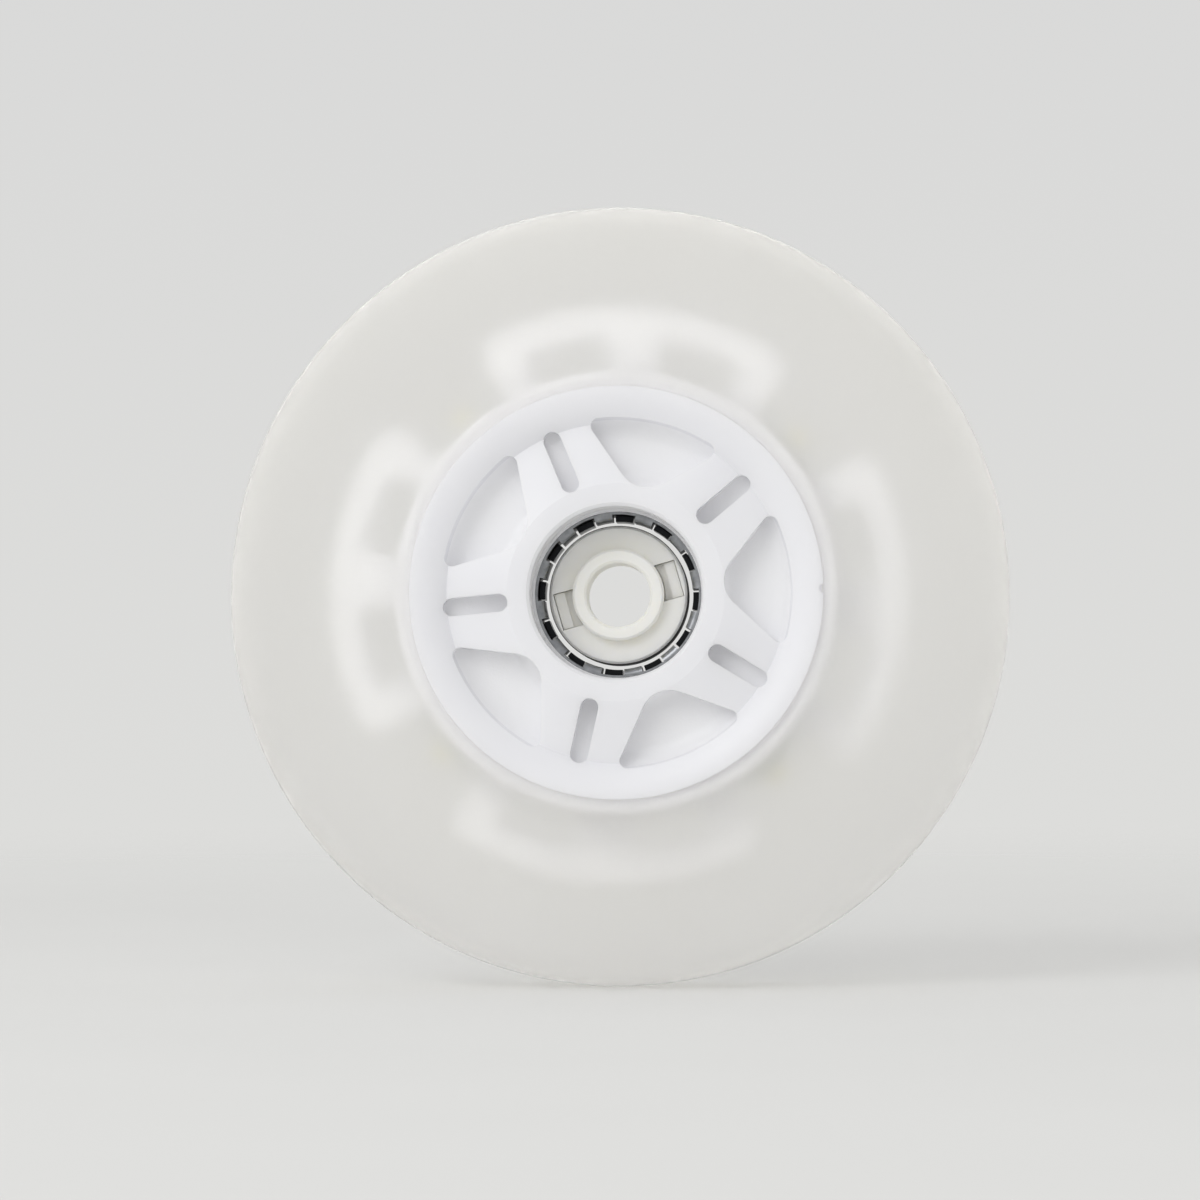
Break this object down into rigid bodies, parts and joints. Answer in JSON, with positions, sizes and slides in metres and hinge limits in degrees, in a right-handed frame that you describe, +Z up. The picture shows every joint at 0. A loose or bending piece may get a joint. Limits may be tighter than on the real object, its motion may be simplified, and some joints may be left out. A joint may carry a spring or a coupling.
{
  "type": "light-up caster wheel",
  "caption": "Clear polyurethane wheel on a white spoked hub, with open bearing seats, a claw-pole coil for built-in lamps and a loose magnet sleeve on the axle.",
  "frame": {"origin": "centre of the wheel, on its axis and in its middle plane", "axes": "+Y along the wheel's axis, from the front face to the rear face; +Z up; +X to the right as the front face is seen"},
  "size_m": [0.1, 0.024, 0.1],
  "materials": {
    "clear_urethane": "cast clear polyurethane, slightly cloudy, satin surface",
    "hub_plastic": "white moulded plastic, satin",
    "sleeve_plastic": "cream-white moulded nylon, matt",
    "plated_steel": "bright zinc-plated pressed steel",
    "magnet": "sintered ferrite, dark grey",
    "bobbin_plastic": "black moulded nylon",
    "copper": "enamelled copper wire, wound",
    "pin_brass": "tinned brass",
    "wire_insulation": "white silicone insulation",
    "board": "white solder mask on fibreglass",
    "lamp": "water-clear resin lens on a white case"
  },
  "bodies": {
    "wheel": {"tyre": "clear_urethane", "hub_front_half": "hub_plastic", "hub_rear_half": "hub_plastic", "anchor_ring": "hub_plastic", "pole_front": "plated_steel", "pole_rear": "plated_steel", "coil_bobbin": "bobbin_plastic", "coil_winding": "copper", "terminal_pin_a": "pin_brass", "terminal_pin_b": "pin_brass", "lead_wire_a": "wire_insulation", "lead_wire_b": "wire_insulation", "led_board_1": "board", "led_lamp_1": "lamp", "led_board_2": "board", "led_lamp_2": "lamp", "led_board_3": "board", "led_lamp_3": "lamp", "led_board_4": "board", "led_lamp_4": "lamp"},
    "magnet_sleeve": {"sleeve_front_half": "sleeve_plastic", "sleeve_rear_half": "sleeve_plastic", "magnet_ring": "magnet"}
  },
  "joints": [
    {"name": "sleeve_spin", "type": "hinge", "parent": "wheel", "child": "magnet_sleeve", "pos_m": [0, 0, 0], "axis": [0, 1, 0], "continuous": true}
  ]
}
